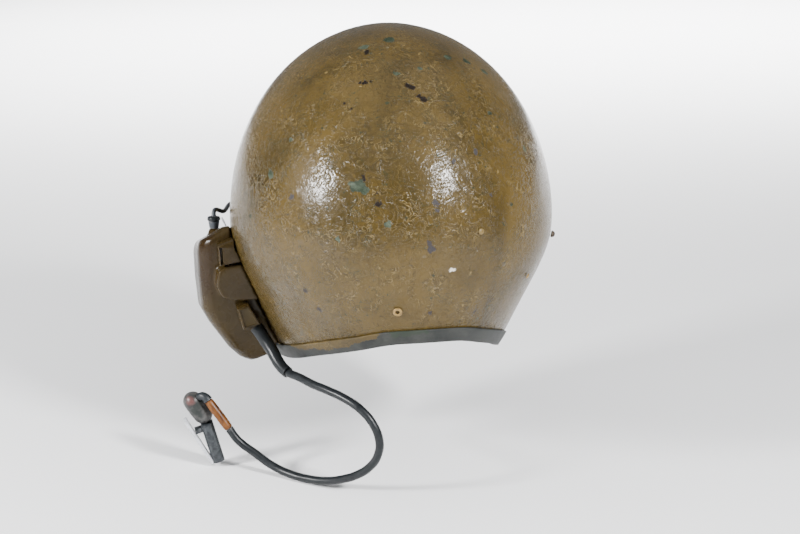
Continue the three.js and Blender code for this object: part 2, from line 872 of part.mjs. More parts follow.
addPiece('shell', makeShell(), shellPaint);
addPiece('edge_trim', makeTrim(), trimRubber);
addPiece('ear_housing', makeHousing(), mouldedPlastic);
addPiece('rear_box', makeRearBox(), mouldedPlastic);
addPiece('outlet_box', makeOutletBox(), mouldedPlastic);
addPiece('boom_sleeve', makeSleeve(), blackRubber);
addPiece('boom_tube', makeBoom(), blackRubber);
aim(
  addPiece('mic_collar', makeCollar(), amberSleeve),
  boomEnd.clone().addScaledVector(boomAim, pieceGap),
  boomAim,
);
addPiece('mic_neck', makeNeck(), blackPlastic);
aim(addPiece('mic_head', makeMicHead(), greyPlastic), micHeadTop, downAt(micHeadLean));

const micSeat = micHeadDiameter / 2 + 2 * pieceGap;
const microphone = new THREE.Group();
microphone.rotation.y = THREE.MathUtils.degToRad(micLean);
microphone.position.copy(micHeadFoot).addScaledVector(downAt(micSeatLean), micSeat);
helmet.add(microphone);
addPiece('mic_body', makeMicBody(), blackPlastic, microphone);

const leafFoot = micBodyWidth / 2 + pieceGap + leafThickness;
const leaf = addPiece(
  'mic_leaf',
  new THREE.BoxGeometry(leafThickness, leafDepth, leafLength),
  greyPlastic,
  microphone,
);
const leafTurn = THREE.MathUtils.degToRad(leafLean);
leaf.rotation.y = leafTurn;
leaf.position.set(
  leafFoot + (leafLength / 2) * Math.sin(leafTurn),
  0,
  -micBodyLength + (leafLength / 2) * Math.cos(leafTurn),
);

const bridgeTop = -1;
const bridgeInner = micBodyWidth / 2 + pieceGap;
const leafAt = (height) => leafFoot + (height + micBodyLength) * Math.tan(leafTurn);
const bridgeOuter = leafAt(bridgeTop - bridgeHeight) - leafThickness - pieceGap;
const bridge = addPiece(
  'mic_bridge',
  new THREE.BoxGeometry(bridgeOuter - bridgeInner, bridgeDepth, bridgeHeight),
  blackPlastic,
  microphone,
);
bridge.position.set((bridgeOuter + bridgeInner) / 2, 0, bridgeTop - bridgeHeight / 2);

addPiece('gland_body', makeGland(), greyRubber).position.set(glandPlace.x, glandPlace.y, glandFoot);
addPiece('gland_cap', makeCap(), blackRubber).position.set(glandPlace.x, glandPlace.y, capFoot);
addPiece('gland_strap', makeStrap(), greyPlastic);
addPiece('gland_lead', makeLead(), greyRubber);
aim(
  addPiece('lead_grommet', makeGrommet(), blackRubber),
  shellPoint(grommetTurn, grommetTilt, pieceGap),
  outerNormal(grommetTurn, grommetTilt),
);
seat(addPiece('nape_eyelet', makeEyelet(), brass), fittings.eyelet);
seat(addPiece('rear_rivet', makeDome(rivetDiameter, rivetHeight), paintedRivet), fittings.rearRivet);
seat(addPiece('flank_rivet', makeDome(rivetDiameter, rivetHeight), brass), fittings.flankRivet);
seat(addPiece('side_stud', makeDome(studDiameter, studHeight), darkMetal), fittings.stud);

export default helmet;
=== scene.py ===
import bpy
import math
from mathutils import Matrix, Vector


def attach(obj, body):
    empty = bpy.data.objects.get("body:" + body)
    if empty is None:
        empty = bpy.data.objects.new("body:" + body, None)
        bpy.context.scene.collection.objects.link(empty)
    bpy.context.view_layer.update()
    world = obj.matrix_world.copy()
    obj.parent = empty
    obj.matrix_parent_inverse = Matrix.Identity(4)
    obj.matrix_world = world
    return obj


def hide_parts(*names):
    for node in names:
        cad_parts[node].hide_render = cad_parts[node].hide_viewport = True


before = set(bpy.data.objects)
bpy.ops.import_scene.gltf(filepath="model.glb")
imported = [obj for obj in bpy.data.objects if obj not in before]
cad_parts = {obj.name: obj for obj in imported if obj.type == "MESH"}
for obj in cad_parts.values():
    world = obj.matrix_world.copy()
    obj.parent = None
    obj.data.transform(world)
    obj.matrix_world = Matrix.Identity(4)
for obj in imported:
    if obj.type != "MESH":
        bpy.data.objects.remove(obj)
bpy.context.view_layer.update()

# Camera, at the photograph's angle: from behind, a little above and to the wearer's left

cameraValues = {
    "place": (0.264379, 1.243805, 0.145285),
    "turn": 12.35,
    "pitch": 14.635,
    "lens": 75.29,
    "sensor": 36,
    "clip": (0.05, 60),
}


def makeCamera(values):
    data = bpy.data.cameras.new("photoCamera")
    data.lens = values["lens"]
    data.sensor_width = values["sensor"]
    data.clip_start, data.clip_end = values["clip"]
    camera = bpy.data.objects.new("photoCamera", data)
    bpy.context.scene.collection.objects.link(camera)
    turn, pitch = math.radians(values["turn"]), math.radians(values["pitch"])
    back = Vector((math.sin(turn) * math.cos(pitch), math.cos(turn) * math.cos(pitch), math.sin(pitch)))
    camera.rotation_mode = "QUATERNION"
    camera.rotation_quaternion = (-back).to_track_quat("-Z", "Y")
    camera.location = values["place"]
    bpy.context.scene.camera = camera


makeCamera(cameraValues)
print("camera is set")

# Small helpers for selecting, copying and finishing pieces


def selectOnly(piece):
    bpy.ops.object.select_all(action="DESELECT")
    piece.select_set(True)
    bpy.context.view_layer.objects.active = piece


def editAll(piece):
    selectOnly(piece)
    bpy.ops.object.mode_set(mode="EDIT")
    bpy.ops.mesh.select_all(action="SELECT")


def leaveEdit():
    bpy.ops.object.mode_set(mode="OBJECT")


# A merged copy of a CAD node, with quads where its triangles pair up
def copyNode(nodeName, name, quads=True):
    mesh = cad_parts[nodeName].data.copy()
    mesh.name = name
    mesh.materials.clear()
    piece = bpy.data.objects.new(name, mesh)
    bpy.context.scene.collection.objects.link(piece)
    selectOnly(piece)
    if mesh.has_custom_normals:
        bpy.ops.mesh.customdata_custom_splitnormals_clear()
    editAll(piece)
    bpy.ops.mesh.remove_doubles(threshold=0.00001)
    if quads:
        pairAngle = math.radians(60)
        bpy.ops.mesh.tris_convert_to_quads(face_threshold=pairAngle, shape_threshold=pairAngle)
    bpy.ops.mesh.normals_make_consistent(inside=False)
    leaveEdit()
    return piece


# Leaves the piece in edit mode, with all of it selected
def dissolveFlat(piece):
    editAll(piece)
    bpy.ops.mesh.dissolve_limited(angle_limit=math.radians(4))


def applyModifier(piece, kind, **settings):
    selectOnly(piece)
    modifier = piece.modifiers.new(kind.lower(), kind)
    for key, value in settings.items():
        setattr(modifier, key, value)
    bpy.ops.object.modifier_apply(modifier=modifier.name)


def bevelEdges(piece, width, segments, angle):
    applyModifier(piece, "BEVEL", width=width, segments=segments, limit_method="ANGLE",
                  angle_limit=math.radians(angle), harden_normals=False)


# Sharp edges are creased first, so that subdividing keeps them
def creaseSharp(piece, angle, amount=1.0):
    editAll(piece)
    bpy.ops.mesh.select_all(action="DESELECT")
    bpy.ops.mesh.select_mode(type="EDGE")
    bpy.ops.mesh.edges_select_sharp(sharpness=math.radians(angle))
    bpy.ops.transform.edge_crease(value=amount)
    bpy.ops.mesh.select_mode(type="FACE")
    leaveEdit()


def subdivide(piece, levels):
    applyModifier(piece, "SUBSURF", levels=levels, render_levels=levels)


def finishPiece(piece, material, nodes, angle=35):
    if material:
        piece.data.materials.clear()
        piece.data.materials.append(materials[material])
    selectOnly(piece)
    bpy.ops.object.shade_smooth_by_angle(angle=math.radians(angle))
    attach(piece, "root")
    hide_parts(*nodes)
    return piece


# Material helpers: a node with its inputs linked or set, and the few graphs that repeat


def newMaterial(name):
    material = bpy.data.materials.new(name)
    material.use_nodes = True
    tree = material.node_tree
    return material, tree, node(tree, "ShaderNodeTexCoord").outputs["Object"]


def setInput(tree, socket, value):
    if isinstance(value, bpy.types.NodeSocket):
        tree.links.new(value, socket)
    else:
        socket.default_value = value


def node(tree, kind, inputs=None, **settings):
    made = tree.nodes.new(kind)
    for key, value in settings.items():
        setattr(made, key, value)
    for key, value in (inputs or {}).items():
        setInput(tree, made.inputs[key], value)
    return made


def calculate(tree, operation, *terms):
    return node(tree, "ShaderNodeMath", dict(enumerate(terms)), operation=operation).outputs[0]


def multiply(tree, product, *factors):
    for factor in factors:
        product = calculate(tree, "MULTIPLY", product, factor)
    return product


def weightedSum(tree, *parts):
    total = 0.0
    for value, weight in parts:
        total = calculate(tree, "MULTIPLY_ADD", value, weight, total)
    return total


def mapRange(tree, value, low, high, newLow=0.0, newHigh=1.0):
    inputs = {"Value": value, "From Min": low, "From Max": high, "To Min": newLow, "To Max": newHigh}
    return node(tree, "ShaderNodeMapRange", inputs).outputs["Result"]


def mixColor(tree, share, first, second):
    return node(tree, "ShaderNodeMix", {0: share, 6: first, 7: second}, data_type="RGBA").outputs[2]


def noiseAt(tree, coords, scale, detail=3.0, distortion=0.0, roughness=0.5, output="Fac"):
    inputs = {"Vector": coords, "Scale": scale, "Detail": detail, "Distortion": distortion,
              "Roughness": roughness}
    return node(tree, "ShaderNodeTexNoise", inputs).outputs[output]


def vectorMath(tree, operation, first, second):
    other = "Scale" if operation == "SCALE" else 1
    return node(tree, "ShaderNodeVectorMath", {0: first, other: second}, operation=operation)


# Coordinates pushed about by noise, for ragged outlines
def raggedCoords(tree, coords, amount, scale):
    wobble = noiseAt(tree, coords, scale, detail=4.0, roughness=0.65, output="Color")
    centred = vectorMath(tree, "SUBTRACT", wobble, (0.5, 0.5, 0.5)).outputs[0]
    scaled = vectorMath(tree, "SCALE", centred, amount).outputs[0]
    return vectorMath(tree, "ADD", coords, scaled).outputs[0]


# One where a noise is near a level, falling to nothing at a distance from it
def lineMask(tree, noise, level, far, near=0.0):
    away = calculate(tree, "ABSOLUTE", calculate(tree, "SUBTRACT", noise, level))
    return mapRange(tree, away, far, near)


# One where a point lies in any of the spots, each a place and a radius in metres
def spotMask(tree, coords, spots, soft=0.00025):
    nearest = None
    for place, radius in spots:
        reach = vectorMath(tree, "DISTANCE", coords, place).outputs["Value"]
        edge = calculate(tree, "SUBTRACT", reach, radius)
        nearest = edge if nearest is None else calculate(tree, "MINIMUM", nearest, edge)
    return mapRange(tree, nearest, soft, -soft)


# Roughness that goes from its first to its second value as a noise rises
def roughnessBy(tree, noise, roughness):
    return mapRange(tree, noise, 0.3, 0.7, *roughness)


def dressShader(tree, tone, roughness, height, bumpDepth, specular=0.5, metallic=0.0):
    shader = tree.nodes["Principled BSDF"]
    bump = node(tree, "ShaderNodeBump", {"Height": height, "Distance": bumpDepth}).outputs["Normal"]
    inputs = {"Base Color": tone, "Roughness": roughness, "Normal": bump, "Specular IOR Level": specular,
              "Metallic": metallic}
    for key, value in inputs.items():
        setInput(tree, shader.inputs[key], value)


# Boom: a bendable tube that leaves the sleeve and ends in the collar

boomValues = {
    "diameter": 0.0064,
    "length": 0.2735,
    "route": [
        (0.0864, 0.0317, -0.2581), (0.0799, 0.0435, -0.2582), (0.0722, 0.0565, -0.2598),
        (0.0625, 0.07, -0.2612), (0.052, 0.082, -0.2642), (0.0424, 0.092, -0.2697),
        (0.0338, 0.0985, -0.2803), (0.0297, 0.1005, -0.2929), (0.0304, 0.098, -0.3047),
        (0.0351, 0.091, -0.3163), (0.0434, 0.083, -0.3252), (0.0527, 0.074, -0.3313),
        (0.0636, 0.063, -0.3362), (0.0756, 0.0516, -0.338), (0.0879, 0.0396, -0.3376),
        (0.1002, 0.029, -0.3336), (0.1126, 0.021, -0.3252), (0.1252, 0.0155, -0.3152),
        (0.1312, 0.013, -0.3064),
    ],
}


def makeBoom(values):
    curve = bpy.data.curves.new("boom", "CURVE")
    curve.dimensions = "3D"
    spline = curve.splines.new("BEZIER")
    spline.bezier_points.add(len(values["route"]) - 1)
    for point, place in zip(spline.bezier_points, values["route"]):
        point.co = place
        point.handle_left_type = "AUTO"
        point.handle_right_type = "AUTO"
    spline.resolution_u = 10
    curve.bevel_depth = values["diameter"] / 2
    curve.bevel_resolution = 7
    curve.use_fill_caps = True
    boom = bpy.data.objects.new("boom", curve)
    bpy.context.scene.collection.objects.link(boom)
    return boom


boom = makeBoom(boomValues)
print("boom is laid")

# Shell paint: brushed olive brown, crinkled, worn through to green, blue grey and black. A noise
# has its scale and its detail. A share goes from one level of a noise to another, with the share
# at each. A line has the noise's level that it follows and how far it reaches to either side

paintValues = {
    "light": (0.074, 0.047, 0.0106, 1),
    "dark": (0.029, 0.0193, 0.0044, 1),
    "ridge": (0.2, 0.14, 0.052, 1),
    "crack": (0.022, 0.018, 0.007, 1),
    "green": (0.014, 0.021, 0.012, 1),
    "greenPale": (0.05, 0.062, 0.043, 1),
    "slate": (0.03, 0.027, 0.028, 1),
    "black": (0.007, 0.0045, 0.003, 1),
    "pale": (0.6, 0.56, 0.48, 1),
    "roughness": (0.135, 0.255),
    "chipRoughness": 0.3,
    "specular": 0.26,
    "chipSpecular": 0.1,
    "noises": {
        "broad": {"scale": 14.0, "detail": 5.0, "distortion": 0.6},
        "stain": {"scale": 46.0, "detail": 6.0, "distortion": 1.1, "roughness": 0.62},
        "calm": {"scale": 30.0, "distortion": 0.5},
        "crinkle": {"scale": 118.0, "detail": 2.5, "distortion": 2.4},
        "crack": {"scale": 73.16, "distortion": 3.4},
        "fine": {"scale": 420.0, "detail": 4.0, "distortion": 0.8},
        "streak": {"scale": 75.0, "detail": 2.0, "distortion": 3.2},
        "streakPlace": {"scale": 60.0},
    },
    "shares": {
        "calm": (0.36, 0.54, 0.3, 1.0),
        "light": (0.32, 0.68),
        "stain": (0.5, 0.66, 0.0, 0.7),
        "cloud": (0.5, 0.66, 0.0, 0.45),
        "ridge": (0.46, 0.62, 0.05, 0.7),
        "crack": (0.42, 0.56, 0.15, 0.95),
        "fine": (0.55, 0.75, 0.0, 0.35),
        "streakPlace": (0.51, 0.58),
        "greenPale": (0.48, 0.6, 0.0, 0.9),
        "fleck": (0.2, 0.12),
    },
    "lines": {"ridge": (0.5, 0.04), "crack": (0.47, 0.018), "streak": (0.5, 0.014, 0.004)},
    "heights": {"ridge": 0.3, "crinkle": 0.7, "crack": -0.22, "fine": 0.2, "chip": -0.5},
    "bumpDepth": 0.00058,
    "streakShare": 0.8,
    "ragged": {"amount": 0.009, "scale": 170.0},
    "fleckScale": 160.0,
    "darkFleckShare": 0.85,
    "darkFlecksByHeight": (-0.19, -0.05, 0.95, 0.78),
    "paleFleckShare": 0.6,
    "paleFlecks": 0.035,
}
chips = {
    "green": [
        ((0.049, 0.1233, -0.0943), 0.0048), ((0.0535, 0.1215, -0.0935), 0.003),
        ((0.045, 0.125, -0.0975), 0.0036), ((0.0091, 0.0418, -0.0029), 0.0042),
        ((0.029, 0.0444, -0.0079), 0.0036), ((0.0122, 0.0805, -0.0222), 0.0021),
        ((-0.0048, 0.0782, -0.0197), 0.0018), ((-0.0303, 0.0604, -0.0148), 0.003),
        ((-0.0461, 0.0549, -0.0189), 0.0034), ((-0.0604, 0.0537, -0.0268), 0.0036),
        ((-0.0535, 0.0941, -0.0514), 0.0024), ((-0.082, 0.0883, -0.0791), 0.0023),
        ((0.0302, 0.1376, -0.1191), 0.0028), ((0.0641, 0.1227, -0.1316), 0.0022),
        ((0.1158, 0.0491, -0.129), 0.0021), ((0.1022, 0.066, -0.0948), 0.003),
        ((-0.0627, 0.1205, -0.1123), 0.0017), ((0.0879, 0.0711, -0.0694), 0.0023),
    ],
    "slate": [
        ((-0.0034, 0.1389, -0.1055), 0.0021), ((-0.0044, 0.1398, -0.1097), 0.0017),
        ((0.0014, 0.1437, -0.1371), 0.0031), ((0.0022, 0.1432, -0.1325), 0.0021),
        ((0.0828, 0.0947, -0.1758), 0.0025), ((0.0731, 0.0969, -0.1893), 0.0022),
        ((0.0909, 0.0908, -0.1064), 0.0025), ((-0.046, 0.1283, -0.1041), 0.0014),
        ((-0.0367, 0.1195, -0.0737), 0.0019), ((0.0001, 0.1359, -0.1858), 0.0016),
        ((-0.0349, 0.127, -0.1894), 0.0015), ((-0.0453, 0.123, -0.1862), 0.0012),
        ((-0.0448, 0.1245, -0.182), 0.0009), ((-0.018, 0.1275, -0.0779), 0.0016),
    ],
    "black": [
        ((0.0038, 0.0923, -0.0302), 0.0024), ((0.0062, 0.0917, -0.0301), 0.0017),
        ((0.0002, 0.0995, -0.0365), 0.0018), ((-0.0022, 0.1006, -0.0381), 0.002),
        ((-0.0045, 0.1014, -0.0396), 0.0019), ((0.0369, 0.1321, -0.1047), 0.0018),
        ((0.0345, 0.1329, -0.1041), 0.0011), ((0.0373, 0.1301, -0.0986), 0.001),
        ((0.0454, 0.1231, -0.0893), 0.0016), ((0.0425, 0.1317, -0.1661), 0.0009),
        ((0.0283, 0.0528, -0.0104), 0.0024), ((0.0516, 0.0865, -0.043), 0.0011),
        ((0.0477, 0.0926, -0.0459), 0.0012), ((0.0352, 0.0791, -0.0278), 0.0021),
        ((0.0386, 0.0775, -0.0282), 0.0017), ((0.031, 0.0802, -0.0275), 0.0012),
    ],
    "pale": [
        ((-0.0147, 0.1419, -0.1528), 0.0019), ((0.0788, 0.088, -0.0735), 0.001),
        ((0.0716, 0.0964, -0.0736), 0.0008), ((-0.0165, 0.1414, -0.1536), 0.0011),
    ],
}


# The paint's colour and height, shared by the shell and what was painted with it. Brushed and
# crinkled patches lie between calmer ones
def paintLayers(tree, coords, values):
    names = ("broad", "stain", "calm", "crinkle", "crack", "fine")
    noises = {name: noiseAt(tree, coords, **values["noises"][name]) for name in names}
    heights = values["heights"]

    def shareBy(noise, share):
        return mapRange(tree, noises[noise], *values["shares"][share])

    rough = shareBy("calm", "calm")
    ridge = multiply(tree, lineMask(tree, noises["crinkle"], *values["lines"]["ridge"]), rough)
    crack = lineMask(tree, noises["crack"], *values["lines"]["crack"])
    tone = mixColor(tree, shareBy("broad", "light"), values["dark"], values["light"])
    for layer, share in (
        ("dark", shareBy("stain", "stain")),
        ("light", multiply(tree, shareBy("crinkle", "cloud"), rough)),
        ("ridge", multiply(tree, ridge, shareBy("stain", "ridge"))),
        ("crack", multiply(tree, crack, shareBy("stain", "crack"))),
        ("light", shareBy("fine", "fine")),
    ):
        tone = mixColor(tree, share, tone, values[layer])
    crinkled = multiply(tree, noises["crinkle"], rough)
    height = weightedSum(tree, (ridge, heights["ridge"]), (crinkled, heights["crinkle"]),
                         (crack, heights["crack"]), (noises["fine"], heights["fine"]))
    return tone, height, noises


# Thin dark green streaks, here and there
def addStreaks(tree, coords, tone, values):
    streak = noiseAt(tree, coords, **values["noises"]["streak"])
    place = noiseAt(tree, coords, **values["noises"]["streakPlace"])
    share = multiply(tree, lineMask(tree, streak, *values["lines"]["streak"]),
                     mapRange(tree, place, *values["shares"]["streakPlace"]), values["streakShare"])
    return mixColor(tree, share, tone, values["green"])


# Small flecks, dark ones mostly high up and pale ones anywhere
def addFlecks(tree, coords, ragged, tone, values):
    cells = node(tree, "ShaderNodeTexVoronoi", {"Vector": ragged, "Scale": values["fleckScale"]})
    pick = node(tree, "ShaderNodeSeparateColor", {0: cells.outputs["Color"]})
    small = mapRange(tree, cells.outputs["Distance"], *values["shares"]["fleck"])
    height = node(tree, "ShaderNodeSeparateXYZ", {0: coords}).outputs[2]
    limit = mapRange(tree, height, *values["darkFlecksByHeight"])
    dark = calculate(tree, "GREATER_THAN", pick.outputs[0], limit)
    pale = calculate(tree, "LESS_THAN", pick.outputs[1], values["paleFlecks"])
    tone = mixColor(tree, multiply(tree, small, dark, values["darkFleckShare"]), tone, values["green"])
    return mixColor(tree, multiply(tree, small, pale, values["paleFleckShare"]), tone, values["ridge"])


def makeShellPaint(values):
    material, tree, coords = newMaterial("shellPaint")
    tone, height, noises = paintLayers(tree, coords, values)
    ragged = raggedCoords(tree, coords, **values["ragged"])
    tone = addStreaks(tree, coords, tone, values)
    tone = addFlecks(tree, coords, ragged, tone, values)
    clouded = mapRange(tree, noises["stain"], *values["shares"]["greenPale"])
    bases = {**values, "green": mixColor(tree, clouded, values["green"], values["greenPale"])}
    worn = None
    for base, spots in chips.items():
        mask = spotMask(tree, ragged, spots)
        tone = mixColor(tree, mask, tone, bases[base])
        worn = mask if worn is None else calculate(tree, "MAXIMUM", worn, mask)
    height = calculate(tree, "MULTIPLY_ADD", worn, values["heights"]["chip"], height)
    roughness = calculate(tree, "MULTIPLY_ADD", worn, values["chipRoughness"],
                          roughnessBy(tree, noises["broad"], values["roughness"]))
    specular = mapRange(tree, worn, 0.0, 1.0, values["specular"], values["chipSpecular"])
    dressShader(tree, tone, roughness, height, values["bumpDepth"], specular)
    return material


# Inside the shell: bare moulded fibre under a thin dark coat
innerValues = {
    "first": (0.05, 0.048, 0.03, 1),
    "second": (0.085, 0.08, 0.05, 1),
    "cloud": {"scale": 35.0, "detail": 5.0},
    "weave": {"Scale": 90.0, "Distortion": 2.5, "Detail": 2.0},
    "roughness": (0.55, 0.75),
    "bumpDepth": 0.0002,
}


def makeInnerFibre(values):
    material, tree, coords = newMaterial("innerFibre")
    cloud = noiseAt(tree, coords, **values["cloud"])
    weave = node(tree, "ShaderNodeTexWave", {"Vector": coords, **values["weave"]}).outputs["Fac"]
    tone = mixColor(tree, mapRange(tree, cloud, 0.35, 0.65), values["first"], values["second"])
    dressShader(tree, tone, roughnessBy(tree, cloud, values["roughness"]), weave, values["bumpDepth"])
    return material


# Edge trim: dark grey rubber, painted over along the left of the nape. The paint's lower edge falls
# to the left, from a height at a place beside the middle
trimValues = {
    "rubber": (0.008, 0.0095, 0.0085, 1),
    "dusty": (0.03, 0.031, 0.028, 1),
    "grime": {"scale": 60.0, "detail": 6.0, "roughness": 0.7},
    "ragged": {"amount": 0.012, "scale": 120.0},
    "paintEnd": 0.0352,
    "paintPlace": 0.0545,
    "paintFoot": -0.2172,
    "paintFall": 0.62,
    "paintFront": -0.02,
    "remnant": [((0.0238, 0.129, -0.2015), 0.0045), ((0.0165, 0.131, -0.201), 0.004),
                ((0.0095, 0.132, -0.2005), 0.0038), ((0.003, 0.1325, -0.2), 0.003)],
    "remnantShare": 0.7,
    "roughness": (0.42, 0.62),
    "specular": 0.25,
    "heights": {"grime": 0.6, "paint": 0.5},
    "bumpDepth": 0.0004,
}


def makeTrimRubber(values, paint):
    material, tree, coords = newMaterial("trimRubber")
    tone = paintLayers(tree, coords, paint)[0]
    ragged = raggedCoords(tree, coords, **values["ragged"])
    side, rear, height = node(tree, "ShaderNodeSeparateXYZ", {0: ragged}).outputs
    grime = noiseAt(tree, coords, **values["grime"])
    rubber = mixColor(tree, mapRange(tree, grime, 0.4, 0.7), values["rubber"], values["dusty"])
    remnant = multiply(tree, spotMask(tree, ragged, values["remnant"]), values["remnantShare"])
    rubber = mixColor(tree, remnant, rubber, paint["green"])
    beyond = calculate(tree, "SUBTRACT", side, values["paintPlace"])
    foot = calculate(tree, "MULTIPLY_ADD", beyond, -values["paintFall"], values["paintFoot"])
    painted = multiply(tree, calculate(tree, "GREATER_THAN", height, foot),
                       calculate(tree, "GREATER_THAN", side, values["paintEnd"]),
                       calculate(tree, "GREATER_THAN", rear, values["paintFront"]))
    bumps = weightedSum(tree, (grime, values["heights"]["grime"]), (painted, values["heights"]["paint"]))
    dressShader(tree, mixColor(tree, painted, rubber, tone), roughnessBy(tree, grime, values["roughness"]),
                bumps, values["bumpDepth"], values["specular"])
    return material


# Moulded plastics and rubbers, with cloudy tone, fine grain and worn edges
mouldedValues = {
    "panelPlastic": {
        "first": (0.026, 0.017, 0.0035, 1), "second": (0.034, 0.022, 0.005, 1),
        "roughness": (0.35, 0.48), "specular": 0.2,
    },
    "blackRubber": {
        "first": (0.0045, 0.0055, 0.0065, 1), "second": (0.0095, 0.0115, 0.013, 1),
        "worn": (0.07, 0.07, 0.07, 1), "roughness": (0.27, 0.4), "specular": 0.22,
        "grainScale": 700.0, "cloudScale": 60.0,
    },
    "blackPlastic": {
        "first": (0.006, 0.008, 0.01, 1), "second": (0.012, 0.015, 0.018, 1),
        "worn": (0.16, 0.17, 0.18, 1), "roughness": (0.37, 0.5),
        "grainScale": 1200.0, "bumpDepth": 0.0001, "cloudScale": 90.0,
    },
    "greyRubber": {
        "first": (0.02, 0.025, 0.032, 1), "second": (0.045, 0.05, 0.058, 1),
        "worn": (0.2, 0.2, 0.2, 1), "roughness": (0.4, 0.53),
        "grainScale": 800.0, "cloudScale": 120.0,
    },
    "paintedMetal": {
        "first": (0.13, 0.085, 0.022, 1), "second": (0.09, 0.06, 0.015, 1),
        "worn": (0.25, 0.18, 0.07, 1), "roughness": (0.35, 0.48),
        "grainScale": 400.0, "bumpDepth": 0.0001,
    },
}


def makeMoulded(name, first, second, roughness, worn=None, wornShare=0.5, specular=0.35, grainScale=900.0,
                bumpDepth=0.00005, cloudScale=30.0):
    material, tree, coords = newMaterial(name)
    cloud = noiseAt(tree, coords, cloudScale, detail=5.0, distortion=0.4, roughness=0.6)
    grain = noiseAt(tree, coords, grainScale, detail=2.0)
    tone = mixColor(tree, mapRange(tree, cloud, 0.3, 0.7), first, second)
    if worn:
        geometry = node(tree, "ShaderNodeNewGeometry")
        edge = mapRange(tree, geometry.outputs["Pointiness"], 0.52, 0.6)
        ragged = mapRange(tree, noiseAt(tree, coords, 260.0, detail=4.0), 0.42, 0.58)
        tone = mixColor(tree, multiply(tree, edge, ragged, wornShare), tone, worn)
    dressShader(tree, tone, roughnessBy(tree, cloud, roughness), grain, bumpDepth, specular)
    return material


# The ear housing's plastic. The darker band on the upright upper part of its outer face, above the crease, is
# painted shade
housingValues = {
    "tone": (0.019, 0.012, 0.0028, 1),
    "light": (0.033, 0.021, 0.006, 1),
    "paintedShade": (0.016, 0.0075, 0.0015, 1),
    "cloud": {"scale": 22.0, "detail": 5.0, "distortion": 0.8},
    "ripple": {"scale": 120.0},
    "dust": {"scale": 200.0, "detail": 6.0, "roughness": 0.7},
    "dustShare": (0.6, 0.72, 0.0, 0.3),
    "ragged": {"amount": 0.006, "scale": 60.0},
    "paintedShadeFoot": (-0.212, -0.195),
    "paintedShadeSide": (0.134, 0.141),
    "paintedShadeShare": 0.8,
    "roughness": (0.22, 0.34),
    "specular": 0.16,
    "bumpDepth": 0.00012,
}


def makeHousingPlastic(values):
    material, tree, coords = newMaterial("housingPlastic")
    cloud, ripple, dust = (noiseAt(tree, coords, **values[name]) for name in ("cloud", "ripple", "dust"))
    ragged = raggedCoords(tree, coords, **values["ragged"])
    place = node(tree, "ShaderNodeSeparateXYZ", {0: ragged}).outputs
    tone = mixColor(tree, mapRange(tree, cloud, 0.3, 0.7), values["tone"], values["light"])
    # Painted shade: the upright outer face above the crease is darkened
    paintedShade = multiply(tree, mapRange(tree, place["Z"], *values["paintedShadeFoot"]),
                    mapRange(tree, place["X"], *values["paintedShadeSide"]), values["paintedShadeShare"])
    tone = mixColor(tree, paintedShade, tone, values["paintedShade"])
    tone = mixColor(tree, mapRange(tree, dust, *values["dustShare"]), tone, values["light"])
    dressShader(tree, tone, roughnessBy(tree, ripple, values["roughness"]), ripple, values["bumpDepth"],
                values["specular"])
    return material


# Amber shrink sleeve, with red-brown streaks along its lean
collarValues = {
    "amber": (0.075, 0.025, 0.0045, 1),
    "orange": (0.13, 0.047, 0.009, 1),
    "streak": (0.022, 0.006, 0.003, 1),
    "streakCoords": {"Rotation": (0.0, 0.65, 0.0), "Scale": (260.0, 260.0, 40.0)},
    "streakNoise": {"scale": 1.0, "detail": 4.0, "distortion": 0.6},
    "streakShare": (0.5, 0.68, 0.0, 0.8),
    "cloudScale": 160.0,
    "roughness": (0.3, 0.45),
    "specular": 0.25,
    "bumpDepth": 0.0003,
}


def makeAmber(values):
    material, tree, coords = newMaterial("amberSleeve")
    along = node(tree, "ShaderNodeMapping", {"Vector": coords, **values["streakCoords"]}).outputs[0]
    streak = noiseAt(tree, along, **values["streakNoise"])
    cloud = noiseAt(tree, coords, values["cloudScale"])
    tone = mixColor(tree, mapRange(tree, cloud, 0.35, 0.65), values["amber"], values["orange"])
    tone = mixColor(tree, mapRange(tree, streak, *values["streakShare"]), tone, values["streak"])
    dressShader(tree, tone, roughnessBy(tree, cloud, values["roughness"]), streak, values["bumpDepth"],
                values["specular"])
    return material


# Mottled grey: the microphone's head, with a dark green-black area and a dull red spot, and the
# pale plastic of the leaf and the strap
mottledValues = {
    "mottledHead": {
        "first": (0.017, 0.018, 0.0175, 1), "second": (0.06, 0.058, 0.056, 1),
        "spots": [
            {"tone": (0.007, 0.01, 0.0085, 1), "share": 0.85, "soft": 0.0012,
             "places": [((0.1548, 0.0048, -0.289), 0.0042), ((0.157, 0.0044, -0.2935), 0.0034),
                        ((0.1505, 0.0045, -0.2835), 0.004), ((0.1525, 0.003, -0.2965), 0.003)]},
            {"tone": (0.085, 0.03, 0.026, 1), "share": 0.75, "soft": 0.0014,
             "places": [((0.1604, 0.0036, -0.2848), 0.0032)]},
        ],
    },
    "greyPlastic": {"first": (0.34, 0.35, 0.37, 1), "second": (0.5, 0.51, 0.54, 1)},
}


def makeMottled(name, first, second, spots=(), specular=0.3):
    material, tree, coords = newMaterial(name)
    cloud = noiseAt(tree, coords, 140.0, detail=5.0, distortion=1.0)
    tone = mixColor(tree, mapRange(tree, cloud, 0.35, 0.65), first, second)
    ragged = raggedCoords(tree, coords, 0.006, 160.0) if spots else coords
    for spot in spots:
        mask = spotMask(tree, ragged, spot["places"], spot["soft"])
        tone = mixColor(tree, multiply(tree, mask, spot["share"]), tone, spot["tone"])
    dressShader(tree, tone, roughnessBy(tree, cloud, (0.3, 0.5)), cloud, 0.0003, specular)
    return material


metalValues = {
    "brass": {"first": (0.36, 0.24, 0.085, 1), "second": (0.2, 0.13, 0.055, 1), "roughness": (0.32, 0.55)},
    "darkMetal": {"first": (0.1, 0.075, 0.055, 1), "second": (0.05, 0.04, 0.032, 1),
                  "roughness": (0.42, 0.65)},
}


